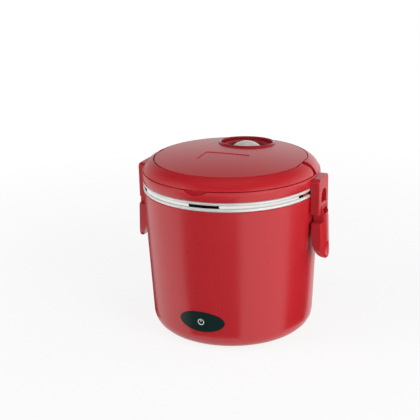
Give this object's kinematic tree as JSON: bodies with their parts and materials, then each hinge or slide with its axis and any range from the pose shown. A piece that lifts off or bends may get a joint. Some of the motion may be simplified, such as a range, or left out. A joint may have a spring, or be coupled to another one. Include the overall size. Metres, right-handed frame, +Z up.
{
  "type": "electric lunch box",
  "caption": "Round electric lunch box: heated tapered casing, lift-out steel bowl, lift-off domed lid with fold-down carry handle, steam valve and side latches.",
  "frame": {"origin": "on the surface that the feet stand on, under the centre of the casing", "axes": "+Z up, -Y to the front with the indicator lens, latches at +X and -X, power inlet at +Y"},
  "size_m": [0.1836, 0.162, 0.1654],
  "materials": {
    "red_gloss": "satin gloss red moulded plastic",
    "dark_red": "glossy dark red moulded plastic",
    "steel": "polished stainless steel",
    "plain_steel": "plain steel",
    "aluminium": "cast aluminium",
    "silver_plastic": "pale silver plastic",
    "lens": "dark tinted lens",
    "black_plastic": "black plastic",
    "white_plastic": "off-white plastic",
    "rubber": "black rubber",
    "silicone": "translucent silicone",
    "brass": "plain brass",
    "lead_sleeve": "wire insulation",
    "lamp": "amber lamp"
  },
  "bodies": {
    "base": {"outer_casing": "red_gloss", "base_cover": "black_plastic", "base_cover_screws": "plain_steel", "rubber_feet": "rubber", "heating_pot": "steel", "heating_plate": "aluminium", "heating_element": "plain_steel", "plate_studs": "plain_steel", "plate_nuts": "plain_steel", "thermostat": "white_plastic", "thermostat_screws": "plain_steel", "thermal_fuse": "silver_plastic", "fuse_clip": "white_plastic", "power_inlet": "black_plastic", "inlet_blades": "brass", "indicator_lens": "lens", "indicator_lamp": "lamp", "lamp_retainer": "black_plastic", "live_lead": "lead_sleeve", "neutral_lead": "lead_sleeve", "earth_lead": "lead_sleeve", "fuse_links": "lead_sleeve", "lamp_leads": "lead_sleeve"},
    "bowl": {"food_bowl": "steel"},
    "lid": {"lid_ring": "red_gloss", "lid_top": "red_gloss", "vent_cup": "dark_red", "lid_liner": "white_plastic", "lid_seal": "silicone", "lid_screws": "plain_steel", "handle_pins": "plain_steel", "bracket_screws": "plain_steel", "latch_bracket_right": "red_gloss", "latch_bracket_left": "red_gloss", "latch_pin_right": "plain_steel", "latch_pin_left": "plain_steel"},
    "handle": {"carry_handle": "red_gloss"},
    "latch_right": {"latch_lever_right": "red_gloss"},
    "latch_left": {"latch_lever_left": "red_gloss"},
    "valve": {"valve_knob": "silver_plastic", "valve_washer": "silicone", "valve_clip": "plain_steel"}
  },
  "joints": [
    {"name": "bowl_lift", "type": "slide", "parent": "base", "child": "bowl", "axis": [0, 0, 1], "range_m": [0, 0.105]},
    {"name": "lid_lift", "type": "slide", "parent": "bowl", "child": "lid", "axis": [0, 0, 1], "range_m": [0, 0.09]},
    {"name": "handle_swing", "type": "hinge", "parent": "lid", "child": "handle", "pos_m": [0, -0.0072, 0.1548], "axis": [-1, 0, 0], "range_deg": [0, 90]},
    {"name": "latch_right_swing", "type": "hinge", "parent": "lid", "child": "latch_right", "pos_m": [0.0852, 0, 0.1229], "axis": [0, -1, 0], "range_deg": [-3, 110]},
    {"name": "latch_left_swing", "type": "hinge", "parent": "lid", "child": "latch_left", "pos_m": [-0.0852, 0, 0.1229], "axis": [0, 1, 0], "range_deg": [-3, 110]},
    {"name": "valve_lift", "type": "slide", "parent": "lid", "child": "valve", "axis": [0, 0.0715, 0.9974], "range_m": [0, 0.004]}
  ]
}
